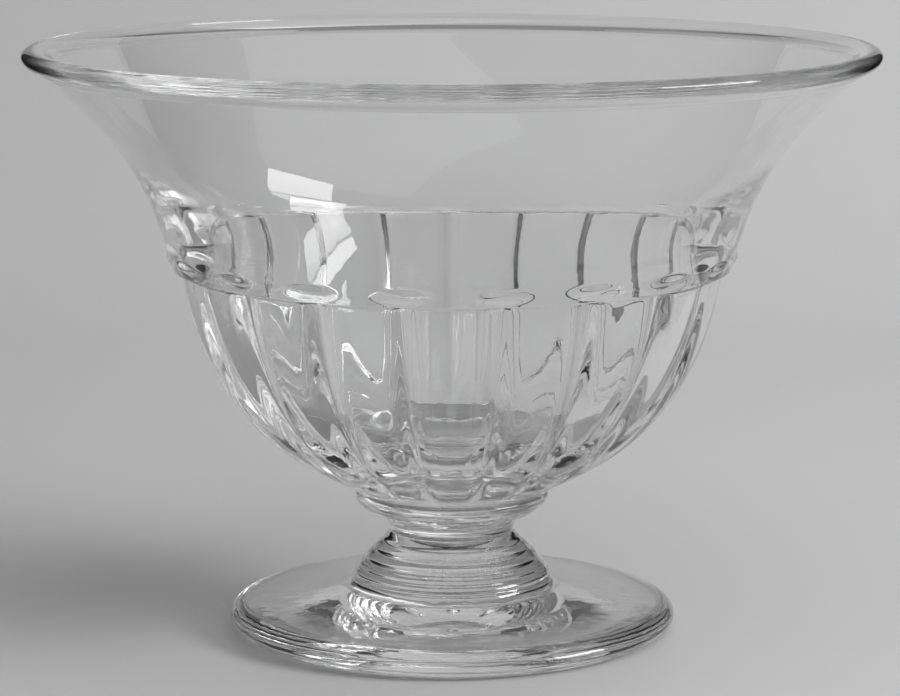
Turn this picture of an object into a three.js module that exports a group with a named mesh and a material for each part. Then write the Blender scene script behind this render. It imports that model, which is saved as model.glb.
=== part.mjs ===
import * as THREE from "three";

// Sizes are in millimetres. The bowl's axis is Z, the foot stands on Z = 0, and the photo looks along +Y.

// Foot: a domed disc with a thick rounded edge, a flat seat on top and a shallow hollow below.
const footRadius = 67.5;
const footEdgeHeight = 8;
const footSeatHeight = 12.6;
const hollowRadius = 55;
const hollowDepth = 3;

// Bell: the flared lower half of the stem, from the foot's seat up to the waist.
const bellBaseRadius = 30.9;
const bellHeight = 16.8;
const waistRadius = 18.5;

// Neck: the short concave spool from the waist up to the collar.
const neckHeight = 6.8;
const neckTopRadius = 25.4;

// Merese: the collar disc that joins the stem to the bowl.
const mereseRadius = 29.6;
const mereseHeight = 6.3;
const bowlSeatRadius = 28.2;

// Bowl: a grooved cup up to a sloped ledge, then a plain flare that ends in a rounded lip.
const rimRadius = 127;
const bowlHeight = 134;
const ledgeHeight = 68.5;
const cupRadius = 81.2;
const ledgeStep = 2.4;
const lipThickness = 5.2;
const ledgeWall = 8.3;
const baseWall = 11.5;

// Grooves: narrow rounded furrows that part the cup into panels and run out on the ledge's slope.
const grooveCount = 19;
const grooveDepth = 3;
const grooveSpread = 3.4;

// Beads: a low oval swelling on the flare above the end of each groove.
const beadWidth = 20;
const beadRise = 0.9;
const beadCentre = 2.9;
const beadReach = 2.7;

// Facets around each piece. The bowl's are drawn together at the grooves.
const facetsPerPanel = 8;
const facetPull = 0.65;
const stemFacets = 84;

// Heights of the joints, each a flat face that both neighbours share.
const bellBase = footSeatHeight;
const waist = bellBase + bellHeight;
const collarBase = waist + neckHeight;
const bowlBase = collarBase + mereseHeight;

function bezier(start, lean, arrive, end, steps) {
  const curve = new THREE.CubicBezierCurve(
    new THREE.Vector2(...start),
    new THREE.Vector2(...lean),
    new THREE.Vector2(...arrive),
    new THREE.Vector2(...end),
  );
  return curve.getPoints(steps);
}

function join(...stretches) {
  const points = [...stretches[0]];
  for (const stretch of stretches.slice(1)) {
    points.push(...stretch.slice(1));
  }
  return points;
}

function turned(points, facets) {
  const geometry = new THREE.LatheGeometry(points, facets);
  geometry.rotateX(Math.PI / 2);
  return geometry;
}

function glassMesh(name, geometry, tint) {
  const material = new THREE.MeshStandardMaterial({ color: tint, roughness: 0.05, metalness: 0 });
  const mesh = new THREE.Mesh(geometry, material);
  mesh.name = name;
  return mesh;
}

// How far an angle lies from the nearest groove, in millimetres around a ring of the given radius.
function fromGroove(angle, radius) {
  const pitch = (2 * Math.PI) / grooveCount;
  const turns = angle / pitch - 0.5;
  return (turns - Math.round(turns)) * pitch * radius;
}

// The foot's profile from the middle of its underside, out round the edge and back over the top.
function footProfile() {
  const flatEdge = footRadius - 0.8 * footEdgeHeight;
  const hollow = bezier(
    [0, hollowDepth],
    [0.5 * hollowRadius, hollowDepth],
    [0.85 * hollowRadius, 0.25 * hollowDepth],
    [hollowRadius, 0],
    5,
  );
  const restingRing = [hollow[5], new THREE.Vector2(flatEdge, 0)];
  const bulge = footRadius + 0.27 * footEdgeHeight;
  const edge = bezier([flatEdge, 0], [bulge, 0], [bulge, footEdgeHeight], [flatEdge, footEdgeHeight], 10);
  const seatEdge = bellBaseRadius + 1.4;
  const span = flatEdge - seatEdge;
  const rise = footSeatHeight - footEdgeHeight;
  const top = bezier(
    [flatEdge, footEdgeHeight],
    [flatEdge - 0.35 * span, footEdgeHeight + 0.2 * rise],
    [seatEdge + 0.3 * span, footSeatHeight - 0.35 * rise],
    [seatEdge, footSeatHeight],
    5,
  );
  return join(hollow, restingRing, edge, top, [top[5], new THREE.Vector2(0, footSeatHeight)]);
}

function bellProfile() {
  const shoulder = bellBase + 0.33 * bellHeight;
  const shoulderRadius = bellBaseRadius - 2.1;
  const skirt = bezier(
    [bellBaseRadius, bellBase],
    [bellBaseRadius - 0.3, bellBase + 0.1 * bellHeight],
    [shoulderRadius + 1.1, shoulder - 0.1 * bellHeight],
    [shoulderRadius, shoulder],
    4,
  );
  const slope = bezier(
    [shoulderRadius, shoulder],
    [shoulderRadius - 2.2, shoulder + 0.2 * bellHeight],
    [waistRadius + 3, waist - 0.19 * bellHeight],
    [waistRadius, waist],
    8,
  );
  const base = [new THREE.Vector2(0, bellBase), new THREE.Vector2(bellBaseRadius, bellBase)];
  return join(base, skirt, slope, [slope[8], new THREE.Vector2(0, waist)]);
}

function neckProfile() {
  const side = bezier(
    [waistRadius, waist],
    [waistRadius - 0.2, waist + 0.44 * neckHeight],
    [neckTopRadius - 4.2, collarBase - 0.29 * neckHeight],
    [neckTopRadius, collarBase],
    8,
  );
  const base = [new THREE.Vector2(0, waist), new THREE.Vector2(waistRadius, waist)];
  return join(base, side, [side[8], new THREE.Vector2(0, collarBase)]);
}

function mereseProfile() {
  const side = bezier(
    [neckTopRadius, collarBase],
    [mereseRadius - 0.8, collarBase + 0.29 * mereseHeight],
    [mereseRadius + 1, collarBase + 0.76 * mereseHeight],
    [bowlSeatRadius, bowlBase],
    8,
  );
  const base = [new THREE.Vector2(0, collarBase), new THREE.Vector2(neckTopRadius, collarBase)];
  return join(base, side, [side[8], new THREE.Vector2(0, bowlBase)]);
}

// One ring of the bowl's wall: its radius, its height, how deep its grooves are and how far its beads rise.
function ring(radius, height, depth = 0, rise = 0) {
  return { radius, height, depth, rise };
}

function plainRings(points) {
  return points.map((point) => ring(point.x, point.y));
}

function bowlRings() {
  const ledge = bowlBase + ledgeHeight;
  const top = bowlBase + bowlHeight;
  const bandRadius = cupRadius + ledgeStep;

  const cup = bezier(
    [bowlSeatRadius, bowlBase],
    [0.65 * cupRadius, bowlBase + 0.167 * ledgeHeight],
    [0.917 * cupRadius, bowlBase + 0.359 * ledgeHeight],
    [cupRadius, ledge],
    9,
  );
  const cupRings = cup.map((point, index) => {
    const share = Math.min(1, index / 2);
    return ring(point.x, point.y, (share * grooveDepth * point.x) / cupRadius);
  });
  const groovesEnd = cup[9].clone().lerp(cup[8], 0.12);
  cupRings.splice(9, 1, ring(groovesEnd.x, groovesEnd.y, grooveDepth));

  const flareEnd = [rimRadius - 5.5, top - 1.33 * lipThickness];
  const outward = flareEnd[0] - bandRadius;
  const upward = flareEnd[1] - ledge;
  const flare = bezier(
    [bandRadius, ledge],
    [bandRadius + 0.205 * outward, ledge + 0.508 * upward],
    [bandRadius + 0.455 * outward, ledge + 0.682 * upward],
    flareEnd,
    7,
  );
  const lean = (flare[1].x - flare[0].x) / (flare[1].y - flare[0].y);
  const bandTop = beadCentre + beadReach;
  const bandHeights = [0, 0.45 * beadCentre, beadCentre, beadCentre + 0.5 * beadReach, bandTop];
  const bandRings = bandHeights.map((up) => {
    const reach = up < beadCentre ? beadCentre : beadReach;
    const share = Math.max(0, 1 - ((up - beadCentre) / reach) ** 2);
    return ring(bandRadius + lean * up, ledge + up, 0, share);
  });

  const innerLip = [flareEnd[0] - 0.68 * lipThickness, flareEnd[1] + 0.735 * lipThickness];
  const tip = [rimRadius, top - 0.44 * lipThickness];
  const crown = [rimRadius - 0.61 * lipThickness, top];
  const lip = join(
    bezier(flareEnd, [flareEnd[0] + 3, flareEnd[1] + 1], [tip[0], tip[1] - 2], tip, 2),
    bezier(tip, [tip[0], tip[1] + 1.3], [crown[0] + 1.7, top], crown, 3),
    bezier(crown, [crown[0] - 1.7, top], [innerLip[0] + 1.5, innerLip[1] + 1.3], innerLip, 2),
  );

  const innerLedge = [bandRadius - 0.955 * ledgeWall, ledge + 0.298 * ledgeWall];
  const across = innerLip[0] - innerLedge[0];
  const down = innerLip[1] - innerLedge[1];
  const innerFlare = bezier(
    innerLip,
    [innerLip[0] - 0.433 * across, innerLip[1] - 0.255 * down],
    [innerLedge[0] + 0.174 * across, innerLedge[1] + 0.381 * down],
    innerLedge,
    6,
  );
  const floorHeight = bowlBase + baseWall;
  const innerCup = bezier(
    innerLedge,
    [innerLedge[0] - 4.6, innerLedge[1] - 0.31 * (innerLedge[1] - floorHeight)],
    [0.8 * innerLedge[0], floorHeight],
    [0, floorHeight],
    7,
  );

  return [
    ring(0, bowlBase),
    ...cupRings,
    ...bandRings,
    ...plainRings(flare.slice(1).filter((point) => point.y > ledge + bandTop + 1)),
    ...plainRings(lip.slice(1)),
    ...plainRings(innerFlare.slice(1)),
    ...plainRings(innerCup.slice(1)),
  ];
}

// Turns the rings into a closed wall, then sinks the grooves and raises the beads.
function bowlGeometry() {
  const rings = bowlRings();
  const facets = grooveCount * facetsPerPanel;
  const points = rings.map((each) => new THREE.Vector2(each.radius, each.height));
  const geometry = new THREE.LatheGeometry(points, facets);
  const position = geometry.getAttribute("position");
  for (let index = 0; index < position.count; index += 1) {
    const each = rings[index % rings.length];
    const facet = Math.floor(index / rings.length) % facets;
    const evenAngle = (facet / facets) * 2 * Math.PI;
    const angle = evenAngle + (facetPull * Math.sin(evenAngle * grooveCount)) / grooveCount;
    const aside = fromGroove(angle, cupRadius);
    const sunk = each.depth * Math.exp(-((aside / grooveSpread) ** 2));
    const oval = Math.max(0, each.rise - ((2 * aside) / beadWidth) ** 2);
    const radius = each.radius - sunk + beadRise * oval ** 2;
    position.setX(index, radius * Math.sin(angle));
    position.setZ(index, radius * Math.cos(angle));
  }
  geometry.rotateX(Math.PI / 2);
  return geometry;
}

const footedBowl = new THREE.Group();
footedBowl.name = "footed_bowl";
footedBowl.add(glassMesh("foot", turned(footProfile(), stemFacets), 0xdfe5e6));
footedBowl.add(glassMesh("bell", turned(bellProfile(), stemFacets), 0xd5dddf));
footedBowl.add(glassMesh("neck", turned(neckProfile(), stemFacets), 0xe3e9ea));
footedBowl.add(glassMesh("merese", turned(mereseProfile(), stemFacets), 0xd9e1e2));
footedBowl.add(glassMesh("bowl", bowlGeometry(), 0xe6ecec));

export default footedBowl;
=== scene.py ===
import math

import bpy
import numpy as np
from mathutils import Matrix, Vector


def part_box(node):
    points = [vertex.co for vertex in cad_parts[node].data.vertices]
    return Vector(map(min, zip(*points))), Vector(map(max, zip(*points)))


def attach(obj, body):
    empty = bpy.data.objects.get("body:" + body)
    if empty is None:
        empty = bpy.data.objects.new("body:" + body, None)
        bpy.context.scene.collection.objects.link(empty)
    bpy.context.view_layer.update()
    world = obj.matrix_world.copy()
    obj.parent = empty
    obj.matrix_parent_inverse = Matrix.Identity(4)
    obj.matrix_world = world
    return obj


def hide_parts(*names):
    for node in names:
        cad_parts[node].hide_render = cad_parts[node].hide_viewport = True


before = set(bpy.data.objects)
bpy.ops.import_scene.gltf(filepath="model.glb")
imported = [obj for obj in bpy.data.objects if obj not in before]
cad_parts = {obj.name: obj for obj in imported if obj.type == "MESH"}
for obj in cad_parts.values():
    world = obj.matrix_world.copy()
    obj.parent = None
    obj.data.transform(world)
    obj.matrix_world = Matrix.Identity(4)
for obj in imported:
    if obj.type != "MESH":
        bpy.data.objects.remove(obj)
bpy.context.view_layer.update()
scene = bpy.context.scene
mm = 0.001  # profiles are drawn in millimetres, meshes are in metres
print("frame loaded:", ", ".join(sorted(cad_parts)))

# heights of the flat joints, and the rim's height and radius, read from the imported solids
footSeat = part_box("foot")[1][2] / mm
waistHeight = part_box("bell")[1][2] / mm
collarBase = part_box("neck")[1][2] / mm
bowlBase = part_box("merese")[1][2] / mm
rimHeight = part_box("bowl")[1][2] / mm
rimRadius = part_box("bowl")[1][0] / mm


# camera

photoCamera = {
    "imageWidth": 900,      # pixels of the photo
    "focalPixels": 3346,    # fitted to the bowl's whole outline
    "sensor": 36,
    "distance": 0.9923,
    "height": 0.2600,
    "lookDown": 9.994,      # degrees below level
    "shiftPixels": -2,      # the bowl stands a little right of the middle
}


def addCamera():
    spec = photoCamera
    data = bpy.data.cameras.new("photoCamera")
    data.sensor_width = spec["sensor"]
    data.lens = spec["sensor"] * spec["focalPixels"] / spec["imageWidth"]
    data.shift_x = spec["shiftPixels"] / spec["imageWidth"]
    camera = bpy.data.objects.new("photoCamera", data)
    camera.location = (0, -spec["distance"], spec["height"])
    camera.rotation_euler = (math.radians(90 - spec["lookDown"]), 0, 0)
    scene.collection.objects.link(camera)
    scene.camera = camera


addCamera()
print("camera placed")


# glass

glassLook = {
    "index": 1.52,
    "clearTint": (1.0, 1.0, 1.0, 1),
    "coolTint": (0.985, 0.99, 0.99, 1),
    "tintScale": 14,            # cloudiness of the melt, cycles per metre
    "smoothest": 0.0,
    "roughest": 0.012,          # fire polish, a little duller in patches
    "polishScale": 55,
    "polishSpread": (0.35, 0.75),   # part of the noise that runs from smooth to dull
    "rippleScale": 150,         # chill marks left by the mould, faint above the ledge
    "rippleOnCup": 0.10,
    "rippleOnFlare": 0.02,
    "rippleHeight": 0.0004,
    "rippleFades": (0.105, 0.122),  # heights in metres between which the marks fade
}


def noiseNode(nodes, links, coordinate, scale, detail):
    noise = nodes.new("ShaderNodeTexNoise")
    noise.inputs["Scale"].default_value = scale
    noise.inputs["Detail"].default_value = detail
    links.new(coordinate, noise.inputs["Vector"])
    return noise.outputs["Fac"]


def makeClearGlass():
    look = glassLook
    material = bpy.data.materials.new("clearGlass")
    material.use_nodes = True
    nodes = material.node_tree.nodes
    links = material.node_tree.links
    glass = nodes["Principled BSDF"]
    glass.inputs["Transmission Weight"].default_value = 1
    glass.inputs["IOR"].default_value = look["index"]
    place = nodes.new("ShaderNodeTexCoord").outputs["Object"]

    tint = nodes.new("ShaderNodeValToRGB")
    tint.color_ramp.elements[0].color = look["coolTint"]
    tint.color_ramp.elements[1].color = look["clearTint"]
    links.new(noiseNode(nodes, links, place, look["tintScale"], 2), tint.inputs["Fac"])
    links.new(tint.outputs["Color"], glass.inputs["Base Color"])

    polish = nodes.new("ShaderNodeMapRange")
    polish.inputs["From Min"].default_value, polish.inputs["From Max"].default_value = look["polishSpread"]
    polish.inputs["To Min"].default_value = look["smoothest"]
    polish.inputs["To Max"].default_value = look["roughest"]
    links.new(noiseNode(nodes, links, place, look["polishScale"], 3), polish.inputs["Value"])
    links.new(polish.outputs["Result"], glass.inputs["Roughness"])

    ripple = nodes.new("ShaderNodeBump")
    split = nodes.new("ShaderNodeSeparateXYZ")
    links.new(place, split.inputs[0])
    fade = nodes.new("ShaderNodeMapRange")
    fade.inputs["From Min"].default_value, fade.inputs["From Max"].default_value = look["rippleFades"]
    fade.inputs["To Min"].default_value = look["rippleOnCup"]
    fade.inputs["To Max"].default_value = look["rippleOnFlare"]
    links.new(split.outputs["Z"], fade.inputs["Value"])
    links.new(fade.outputs["Result"], ripple.inputs["Strength"])
    ripple.inputs["Distance"].default_value = look["rippleHeight"]
    links.new(noiseNode(nodes, links, place, look["rippleScale"], 2), ripple.inputs["Height"])
    links.new(ripple.outputs["Normal"], glass.inputs["Normal"])
    return material


# the pieces are fused where they meet, so the joint faces are left unseen
def makeFusedJoint():
    material = bpy.data.materials.new("fusedJoint")
    material.use_nodes = True
    surface = material.node_tree.nodes["Principled BSDF"]
    surface.inputs["Alpha"].default_value = 0
    return material


clearGlass = makeClearGlass()
fusedJoint = makeFusedJoint()
print("glass mixed")


# turning: a profile is a list of rings, and each ring is a small dictionary

def bezier(start, lean, arrive, end, steps):
    t = np.linspace(0, 1, steps + 1)[:, None]
    start, lean, arrive, end = (np.array(each, float) for each in (start, lean, arrive, end))
    return (1 - t) ** 3 * start + 3 * (1 - t) ** 2 * t * lean + 3 * (1 - t) * t * t * arrive + t ** 3 * end


def smoothStep(share):
    share = np.clip(share, 0, 1)
    return share * share * (3 - 2 * share)


def ring(radius, height, joint=False, groove=0.0, band=-1.0):
    return {"radius": float(radius), "height": float(height), "joint": joint, "groove": groove, "band": band}


def rings(points, **marks):
    return [ring(radius, height, **marks) for radius, height in points]


# a flat joint face, from the middle out
def disc(height, radius):
    return rings([(0, height), (radius / 2, height), (radius, height)], joint=True)


def turnProfile(name, profile, angles):
    columns = len(angles)
    points, faces, jointFaces, rows, grooves, bands = [], [], [], [], [], []
    for each in profile:
        if each["radius"] == 0:
            spots = [(0, 0, each["height"] * mm)]
        else:
            across = each["radius"] * mm
            spots = [(across * math.sin(a), -across * math.cos(a), each["height"] * mm) for a in angles]
        rows.append(list(range(len(points), len(points) + len(spots))))
        points += spots
        grooves += [each["groove"]] * len(spots)
        bands += [each["band"]] * len(spots)
    for below, above, low, high in zip(profile, profile[1:], rows, rows[1:]):
        for column in range(columns):
            following = (column + 1) % columns
            if len(low) == 1:
                faces.append((low[0], high[following], high[column]))
            elif len(high) == 1:
                faces.append((low[column], low[following], high[0]))
            else:
                faces.append((low[column], low[following], high[following], high[column]))
            jointFaces.append(below["joint"] and above["joint"])
    mesh = bpy.data.meshes.new(name)
    mesh.from_pydata(points, [], faces)
    mesh.polygons.foreach_set("use_smooth", [True] * len(faces))
    mesh.attributes.new("grooveShare", "FLOAT", "POINT").data.foreach_set("value", grooves)
    mesh.attributes.new("bandHeight", "FLOAT", "POINT").data.foreach_set("value", bands)
    mesh.attributes.new("jointFace", "BOOLEAN", "FACE").data.foreach_set("value", jointFaces)
    mesh.update()
    piece = bpy.data.objects.new(name, mesh)
    scene.collection.objects.link(piece)
    return piece


def evenAngles(columns):
    return [2 * math.pi * column / columns for column in range(columns)]


def dressPiece(piece, node):
    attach(piece, "root")
    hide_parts(node)


# bowl

bowlSpec = {
    "seatRadius": 28.2,
    "cupRadius": 81.2,
    "ledgeHeight": 68.5,        # above the bowl's base
    "ledgeStep": 2.4,
    "ledgeSlope": 1.6,          # height of the slope from the cup out to the flare
    "lipThickness": 5.2,
    "ledgeWall": 8.3,
    "wallThins": 34,            # how far up the flare it takes to thin from the ledge's wall to the lip's
    "baseWall": 11.5,
    "grooves": 19,
    "grooveDepth": 3,
    "grooveSpread": 3.4,
    "grooveStart": 6,           # how far above the base a groove reaches its depth
    "beadWidth": 20,
    "beadRise": 0.9,
    "beadCentre": 2.9,          # above the ledge
    "beadReach": 2.7,           # above its centre
    "columnsPerPanel": 22,
    "columnPull": 0.6,          # draws the columns together at the grooves
}


def bowlProfile():
    spec = bowlSpec
    ledge = bowlBase + spec["ledgeHeight"]
    cupRadius = spec["cupRadius"]
    bandRadius = cupRadius + spec["ledgeStep"]
    lip = spec["lipThickness"]

    cup = bezier(
        (spec["seatRadius"], bowlBase),
        (0.65 * cupRadius, bowlBase + 0.167 * spec["ledgeHeight"]),
        (0.917 * cupRadius, bowlBase + 0.359 * spec["ledgeHeight"]),
        (cupRadius, ledge),
        48,
    )
    cupRings = []
    for radius, height in cup[1:]:
        if height < ledge - spec["ledgeSlope"] - 0.3:
            start = float(smoothStep((height - bowlBase) / spec["grooveStart"]))
            cupRings.append(ring(radius, height, groove=start * radius / cupRadius))
    slopeStart = ledge - spec["ledgeSlope"]
    slopeFoot = np.array((np.interp(slopeStart, cup[:, 1], cup[:, 0]), slopeStart))
    slope = bezier(
        slopeFoot, slopeFoot + (0.3, 1.0), (bandRadius - 0.3, ledge - 1.0), (bandRadius, ledge), 16)
    # the grooves keep their depth on the lower half of the slope and run out on the upper half
    slopeRings = []
    for share, (radius, height) in zip(np.linspace(1, 0, 17), slope[:-1]):
        slopeRings.append(ring(radius, height, groove=float(smoothStep(2 * share))))

    flareEnd = np.array((rimRadius - 5.5, rimHeight - 1.33 * lip))
    span = flareEnd - (bandRadius, ledge)
    flare = bezier(
        (bandRadius, ledge),
        (bandRadius + 0.205 * span[0], ledge + 0.508 * span[1]),
        (bandRadius + 0.455 * span[0], ledge + 0.682 * span[1]),
        flareEnd,
        44,
    )
    bandTop = spec["beadCentre"] + spec["beadReach"]
    bandRings = []
    for up in [*np.linspace(0, bandTop, 23), bandTop + 0.6]:
        radius = np.interp(ledge + up, flare[:, 1], flare[:, 0])
        bandRings.append(ring(radius, ledge + up, band=float(up)))
    flareRings = rings([point for point in flare if point[1] > ledge + bandTop + 1])

    # the inner wall follows the flare at a thickness that eases from the ledge's to the lip's
    along = np.gradient(flare, axis=0)
    along /= np.linalg.norm(along, axis=1)[:, None]
    inward = np.stack([-along[:, 1], along[:, 0]], axis=1)
    strides = np.linalg.norm(np.diff(flare, axis=0), axis=1)
    travelled = np.concatenate([[0], np.cumsum(strides)])
    thinned = smoothStep(travelled / spec["wallThins"])
    wall = spec["ledgeWall"] + (lip - spec["ledgeWall"]) * thinned
    innerFlare = (flare + inward * wall[:, None])[::-1]
    innerLip, innerLedge = innerFlare[0], innerFlare[-1]

    tip = np.array((rimRadius, rimHeight - 0.44 * lip))
    crown = np.array((rimRadius - 0.61 * lip, rimHeight))
    lipPoints = np.concatenate([
        bezier(flareEnd, flareEnd + (3.0, 1.0), tip - (0, 2.0), tip, 8)[1:],
        bezier(tip, tip + (0, 1.3), crown + (1.7, 0), crown, 8)[1:],
        bezier(crown, crown - (1.7, 0), innerLip + (1.5, 1.3), innerLip, 8)[1:],
    ])

    floorHeight = bowlBase + spec["baseWall"]
    innerCup = bezier(
        innerLedge,
        (innerLedge[0] - 4.6, innerLedge[1] - 0.31 * (innerLedge[1] - floorHeight)),
        (0.8 * innerLedge[0], floorHeight),
        (0, floorHeight),
        40,
    )
    return [
        *disc(bowlBase, spec["seatRadius"]), *cupRings, *slopeRings, *bandRings, *flareRings,
        *rings(lipPoints), *rings(innerFlare[1:]), *rings(innerCup[1:]),
    ]


def bowlAngles():
    count = bowlSpec["grooves"]
    even = evenAngles(count * bowlSpec["columnsPerPanel"])
    return [angle + bowlSpec["columnPull"] * math.sin(angle * count) / count for angle in even]


def mathNode(tree, operation, first, second=None):
    node = tree.nodes.new("ShaderNodeMath")
    node.operation = operation
    for socket, value in zip(node.inputs, (first, second)):
        if isinstance(value, bpy.types.NodeSocket):
            tree.links.new(value, socket)
        elif value is not None:
            socket.default_value = value
    return node.outputs[0]


def attributeNode(tree, name, kind):
    node = tree.nodes.new("GeometryNodeInputNamedAttribute")
    node.data_type = kind
    node.inputs["Name"].default_value = name
    return node.outputs["Attribute"]


# sinks the grooves into a turned bowl and raises a bead above each one
def makeGrooveTree():
    tree = bpy.data.node_groups.new("groovesAndBeads", "GeometryNodeTree")
    face = tree.interface
    face.new_socket("Geometry", in_out="OUTPUT", socket_type="NodeSocketGeometry")
    face.new_socket("Geometry", in_out="INPUT", socket_type="NodeSocketGeometry")
    face.new_socket("Groove Count", in_out="INPUT", socket_type="NodeSocketInt")
    lengths = (
        "Cup Radius", "Groove Depth", "Groove Spread", "Bead Width", "Bead Rise", "Bead Centre", "Bead Reach")
    for name in lengths:
        face.new_socket(name, in_out="INPUT", socket_type="NodeSocketFloat")
    face.new_socket("Glass", in_out="INPUT", socket_type="NodeSocketMaterial")
    face.new_socket("Joint", in_out="INPUT", socket_type="NodeSocketMaterial")
    given = tree.nodes.new("NodeGroupInput").outputs
    made = tree.nodes.new("NodeGroupOutput").inputs

    def combine(operation, first, second=None):
        return mathNode(tree, operation, first, second)

    position = tree.nodes.new("GeometryNodeInputPosition").outputs[0]
    split = tree.nodes.new("ShaderNodeSeparateXYZ")
    tree.links.new(position, split.inputs[0])
    east, north, height = split.outputs
    squares = combine("ADD", combine("MULTIPLY", east, east), combine("MULTIPLY", north, north))
    radius = combine("MAXIMUM", combine("SQRT", squares), 1e-6)
    angle = combine("ARCTAN2", east, combine("MULTIPLY", north, -1))

    # distance round the cup from the nearest groove
    pitch = combine("DIVIDE", 2 * math.pi, given["Groove Count"])
    turns = combine("SUBTRACT", combine("DIVIDE", angle, pitch), 0.5)
    stray = combine("SUBTRACT", turns, combine("ROUND", turns))
    aside = combine("MULTIPLY", combine("MULTIPLY", stray, pitch), given["Cup Radius"])

    spread = combine("DIVIDE", aside, given["Groove Spread"])
    furrow = combine("EXPONENT", combine("MULTIPLY", combine("MULTIPLY", spread, spread), -1))
    grooveShare = attributeNode(tree, "grooveShare", "FLOAT")
    sunk = combine("MULTIPLY", combine("MULTIPLY", furrow, given["Groove Depth"]), grooveShare)

    # a bead is an oval that reaches down to the ledge, and up by its reach
    up = attributeNode(tree, "bandHeight", "FLOAT")
    fromMiddle = combine("SUBTRACT", up, given["Bead Centre"])
    isAbove = combine("GREATER_THAN", fromMiddle, 0)
    spare = combine("SUBTRACT", given["Bead Reach"], given["Bead Centre"])
    reach = combine("ADD", given["Bead Centre"], combine("MULTIPLY", isAbove, spare))
    tall = combine("DIVIDE", fromMiddle, reach)
    wide = combine("DIVIDE", combine("MULTIPLY", aside, 2), given["Bead Width"])
    away = combine("ADD", combine("MULTIPLY", tall, tall), combine("MULTIPLY", wide, wide))
    oval = combine("MAXIMUM", combine("SUBTRACT", 1, away), 0)
    onBand = combine("GREATER_THAN", up, -0.0001)
    rise = combine("MULTIPLY", onBand, given["Bead Rise"])
    swell = combine("MULTIPLY", combine("MULTIPLY", oval, oval), rise)

    shaped = combine("ADD", combine("SUBTRACT", radius, sunk), swell)
    scale = combine("DIVIDE", shaped, radius)
    join = tree.nodes.new("ShaderNodeCombineXYZ")
    tree.links.new(combine("MULTIPLY", east, scale), join.inputs[0])
    tree.links.new(combine("MULTIPLY", north, scale), join.inputs[1])
    tree.links.new(height, join.inputs[2])
    place = tree.nodes.new("GeometryNodeSetPosition")
    tree.links.new(given["Geometry"], place.inputs["Geometry"])
    tree.links.new(join.outputs[0], place.inputs["Position"])

    realize = tree.nodes.new("GeometryNodeRealizeInstances")
    glass = tree.nodes.new("GeometryNodeSetMaterial")
    joint = tree.nodes.new("GeometryNodeSetMaterial")
    tree.links.new(place.outputs["Geometry"], realize.inputs["Geometry"])
    tree.links.new(realize.outputs["Geometry"], glass.inputs["Geometry"])
    tree.links.new(given["Glass"], glass.inputs["Material"])
    tree.links.new(glass.outputs["Geometry"], joint.inputs["Geometry"])
    tree.links.new(attributeNode(tree, "jointFace", "BOOLEAN"), joint.inputs["Selection"])
    tree.links.new(given["Joint"], joint.inputs["Material"])
    tree.links.new(joint.outputs["Geometry"], made["Geometry"])
    return tree


def runTree(piece, tree, values):
    modifier = piece.modifiers.new(tree.name, "NODES")
    modifier.node_group = tree
    for item in tree.interface.items_tree:
        if item.in_out == "INPUT" and item.name in values:
            modifier[item.identifier] = values[item.name]
    evaluated = piece.evaluated_get(bpy.context.evaluated_depsgraph_get())
    mesh = bpy.data.meshes.new_from_object(evaluated)
    piece.modifiers.clear()
    piece.data = mesh


def addBowl():
    spec = bowlSpec
    bowl = turnProfile("glassBowl", bowlProfile(), bowlAngles())
    runTree(bowl, makeGrooveTree(), {
        "Groove Count": spec["grooves"],
        "Cup Radius": spec["cupRadius"] * mm,
        "Groove Depth": spec["grooveDepth"] * mm,
        "Groove Spread": spec["grooveSpread"] * mm,
        "Bead Width": spec["beadWidth"] * mm,
        "Bead Rise": spec["beadRise"] * mm,
        "Bead Centre": spec["beadCentre"],
        "Bead Reach": spec["beadReach"],
        "Glass": clearGlass,
        "Joint": fusedJoint,
    })
    dressPiece(bowl, "bowl")


addBowl()
print("bowl turned and grooved")


# stem and foot

stemSpec = {
    "columns": 160,
    "bellBaseRadius": 30.9,
    "waistRadius": 18.5,
    "neckTopRadius": 25.4,
    "mereseRadius": 29.6,
    # height above the foot's seat, depth and half-width of the rings the tools left on the bell
    "toolRings": ((3.4, 0.22, 0.7), (6.1, 0.14, 0.6), (8.3, 0.26, 0.8), (11.2, 0.16, 0.6), (13.9, 0.20, 0.7)),
}

footSpec = {
    "columns": 200,
    "radius": 67.5,
    "edgeHeight": 8,
    "hollowRadius": 55,
    "hollowDepth": 3,
}


def addTurnedPiece(name, node, profile, columns):
    piece = turnProfile(name, profile, evenAngles(columns))
    piece.data.materials.append(clearGlass)
    piece.data.materials.append(fusedJoint)
    joints = piece.data.attributes["jointFace"].data
    piece.data.polygons.foreach_set("material_index", [int(each.value) for each in joints])
    dressPiece(piece, node)


def mereseProfile():
    spec = stemSpec
    seat = bowlSpec["seatRadius"]
    tall = bowlBase - collarBase
    side = bezier(
        (spec["neckTopRadius"], collarBase),
        (spec["mereseRadius"] - 0.8, collarBase + 0.29 * tall),
        (spec["mereseRadius"] + 1, collarBase + 0.76 * tall),
        (seat, bowlBase),
        24,
    )
    return [*disc(collarBase, spec["neckTopRadius"]), *rings(side[1:-1]), *disc(bowlBase, seat)[::-1]]


def neckProfile():
    spec = stemSpec
    tall = collarBase - waistHeight
    side = bezier(
        (spec["waistRadius"], waistHeight),
        (spec["waistRadius"] - 0.2, waistHeight + 0.44 * tall),
        (spec["neckTopRadius"] - 4.2, collarBase - 0.29 * tall),
        (spec["neckTopRadius"], collarBase),
        24,
    )
    return [*disc(waistHeight, spec["waistRadius"]), *rings(side[1:-1]),
            *disc(collarBase, spec["neckTopRadius"])[::-1]]


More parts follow.
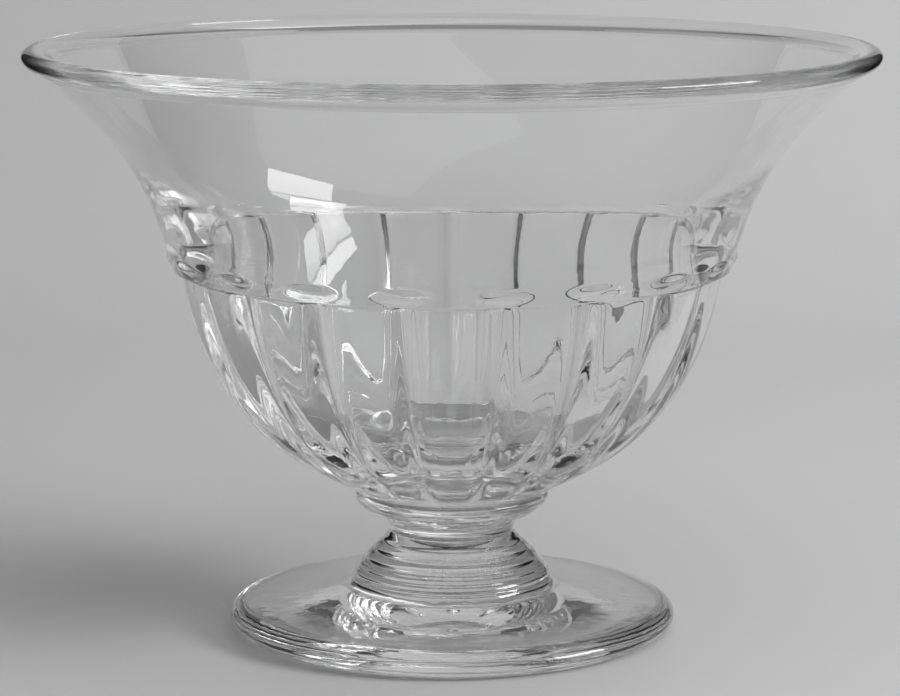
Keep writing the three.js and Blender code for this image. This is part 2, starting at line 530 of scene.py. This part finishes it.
def bellProfile():
    spec = stemSpec
    foot = spec["bellBaseRadius"]
    tall = waistHeight - footSeat
    shoulder = footSeat + 0.33 * tall
    shoulderRadius = foot - 2.1
    skirt = bezier(
        (foot, footSeat),
        (foot - 0.3, footSeat + 0.1 * tall),
        (shoulderRadius + 1.1, shoulder - 0.1 * tall),
        (shoulderRadius, shoulder),
        24,
    )
    slope = bezier(
        (shoulderRadius, shoulder),
        (shoulderRadius - 2.2, shoulder + 0.2 * tall),
        (spec["waistRadius"] + 3, waistHeight - 0.19 * tall),
        (spec["waistRadius"], waistHeight),
        48,
    )
    side = np.concatenate([skirt[1:], slope[1:-1]])
    for up, depth, spread in spec["toolRings"]:
        side[:, 0] -= depth * np.exp(-(((side[:, 1] - footSeat - up) / spread) ** 2))
    return [*disc(footSeat, foot), *rings(side),
            *disc(waistHeight, spec["waistRadius"])[::-1]]


def footProfile():
    spec = footSpec
    flatEdge = spec["radius"] - 0.8 * spec["edgeHeight"]
    bulge = spec["radius"] + 0.27 * spec["edgeHeight"]
    seatEdge = stemSpec["bellBaseRadius"] + 1.4
    span = flatEdge - seatEdge
    rise = footSeat - spec["edgeHeight"]
    deep = spec["hollowDepth"]
    wide = spec["hollowRadius"]
    hollow = bezier((0, deep), (0.5 * wide, deep), (0.85 * wide, 0.25 * deep), (wide, 0), 24)
    edge = bezier(
        (flatEdge, 0), (bulge, 0), (bulge, spec["edgeHeight"]), (flatEdge, spec["edgeHeight"]), 28)
    top = bezier(
        (flatEdge, spec["edgeHeight"]),
        (flatEdge - 0.35 * span, spec["edgeHeight"] + 0.2 * rise),
        (seatEdge + 0.3 * span, footSeat - 0.35 * rise),
        (seatEdge, footSeat),
        28,
    )
    return [*rings(hollow), *rings(edge), *rings(top[1:]), *disc(footSeat, stemSpec["bellBaseRadius"])[::-1]]


addTurnedPiece("glassMerese", "merese", mereseProfile(), stemSpec["columns"])
addTurnedPiece("glassNeck", "neck", neckProfile(), stemSpec["columns"])
addTurnedPiece("glassBell", "bell", bellProfile(), stemSpec["columns"])
addTurnedPiece("glassFoot", "foot", footProfile(), footSpec["columns"])
print("stem and foot turned")


# studio

sweepSpec = {
    "sides": (-0.36, 0.36),  # the room beside the sheet is dark
    "front": -0.22,
    "paintedShadeStarts": -0.085,  # painted shade: from here the sheet's colour darkens to black at its front edge, just below the picture
    "bendStart": 0.5,
    "bendRadius": 0.4,
    "bendSteps": 24,
    "top": 1.5,
    "drop": 0.0002,         # the foot's resting ring stands clear of the paper
    "paleGrey": (0.82, 0.82, 0.82, 1),
    "darkGrey": (0.79, 0.79, 0.79, 1),
    "roughness": 0.5,
    "mottleScale": 3,
}

# a soft panel on the right and a broad high fill, which the glass doesn't mirror, in a dim room
studioLight = {
    "room": (0.5, 0.85, 0.24),  # sines of the heights where the ceiling starts and is full, and its level
    "bounces": 64,              # light has to cross many walls of glass
    "lamps": (
        {"name": "softPanel", "at": (1.701, -0.580, 0.843), "aim": (-0.048, 0.074, 0.126),
         "size": (1.00, 0.53), "roll": 4, "power": 21, "mirrored": True},
        {"name": "highFill", "at": (0.75, -0.60, 1.70), "aim": (0, 0, 0.05), "size": (2.4, 2.4),
         "roll": 0, "power": 17, "mirrored": False},
    ),
}


def makePaper():
    material = bpy.data.materials.new("sweepPaper")
    material.use_nodes = True
    nodes = material.node_tree.nodes
    links = material.node_tree.links
    surface = nodes["Principled BSDF"]
    surface.inputs["Roughness"].default_value = sweepSpec["roughness"]
    place = nodes.new("ShaderNodeTexCoord").outputs["Object"]
    shade = nodes.new("ShaderNodeValToRGB")
    shade.color_ramp.elements[0].color = sweepSpec["darkGrey"]
    shade.color_ramp.elements[1].color = sweepSpec["paleGrey"]
    links.new(noiseNode(nodes, links, place, sweepSpec["mottleScale"], 2), shade.inputs["Fac"])
    split = nodes.new("ShaderNodeSeparateXYZ")
    links.new(place, split.inputs[0])
    # painted shade: the paper's colour is scaled from full where the shade starts down to black at the
    # sheet's front edge
    fade = nodes.new("ShaderNodeMapRange")
    fade.inputs["From Min"].default_value = sweepSpec["front"]
    fade.inputs["From Max"].default_value = sweepSpec["paintedShadeStarts"]
    links.new(split.outputs["Y"], fade.inputs["Value"])
    shaded = nodes.new("ShaderNodeVectorMath")
    shaded.operation = "SCALE"
    links.new(shade.outputs["Color"], shaded.inputs[0])
    links.new(fade.outputs["Result"], shaded.inputs["Scale"])
    links.new(shaded.outputs[0], surface.inputs["Base Color"])
    return material


def addSweep():
    spec = sweepSpec
    line = [(spec["front"], -spec["drop"]), (spec["bendStart"], -spec["drop"])]
    for step in range(1, spec["bendSteps"] + 1):
        turn = math.pi / 2 * step / spec["bendSteps"]
        away = spec["bendStart"] + spec["bendRadius"] * math.sin(turn)
        line.append((away, spec["bendRadius"] * (1 - math.cos(turn)) - spec["drop"]))
    line.append((spec["bendStart"] + spec["bendRadius"], spec["top"]))
    points, faces = [], []
    for away, height in line:
        points += [(side, away, height) for side in spec["sides"]]
    for step in range(len(line) - 1):
        faces.append((2 * step, 2 * step + 1, 2 * step + 3, 2 * step + 2))
    mesh = bpy.data.meshes.new("paperSweep")
    mesh.from_pydata(points, [], faces)
    mesh.polygons.foreach_set("use_smooth", [True] * len(faces))
    mesh.materials.append(makePaper())
    sweep = bpy.data.objects.new("paperSweep", mesh)
    scene.collection.objects.link(sweep)


def aimAt(thing, place, target):
    thing.location = place
    thing.rotation_euler = (Vector(target) - Vector(place)).to_track_quat("-Z", "Y").to_euler()


def addLamp(spec):
    data = bpy.data.lights.new(spec["name"], "AREA")
    data.shape = "RECTANGLE"
    data.size, data.size_y = spec["size"]
    data.energy = spec["power"]
    lamp = bpy.data.objects.new(spec["name"], data)
    scene.collection.objects.link(lamp)
    aimAt(lamp, spec["at"], spec["aim"])
    lamp.rotation_euler.rotate_axis("Z", math.radians(spec["roll"]))
    lamp.visible_glossy = spec["mirrored"]


def makeRoom():
    world = bpy.data.worlds.new("studioRoom")
    world.use_nodes = True
    nodes, links = world.node_tree.nodes, world.node_tree.links
    split = nodes.new("ShaderNodeSeparateXYZ")
    links.new(nodes.new("ShaderNodeTexCoord").outputs["Generated"], split.inputs[0])
    eased = nodes.new("ShaderNodeMapRange")
    eased.interpolation_type = "SMOOTHSTEP"
    for name, value in zip(("From Min", "From Max", "To Max"), studioLight["room"]):
        eased.inputs[name].default_value = value
    links.new(split.outputs["Z"], eased.inputs["Value"])
    links.new(eased.outputs["Result"], nodes["Background"].inputs["Color"])
    return world


def addStudio():
    scene.world = makeRoom()
    for spec in studioLight["lamps"]:
        addLamp(spec)
    addSweep()


addStudio()
scene.view_settings.view_transform = "Standard"
scene.cycles.max_bounces = studioLight["bounces"]
scene.cycles.glossy_bounces = studioLight["bounces"]
scene.cycles.transmission_bounces = studioLight["bounces"]
scene.cycles.transparent_max_bounces = studioLight["bounces"]
print("studio lit")
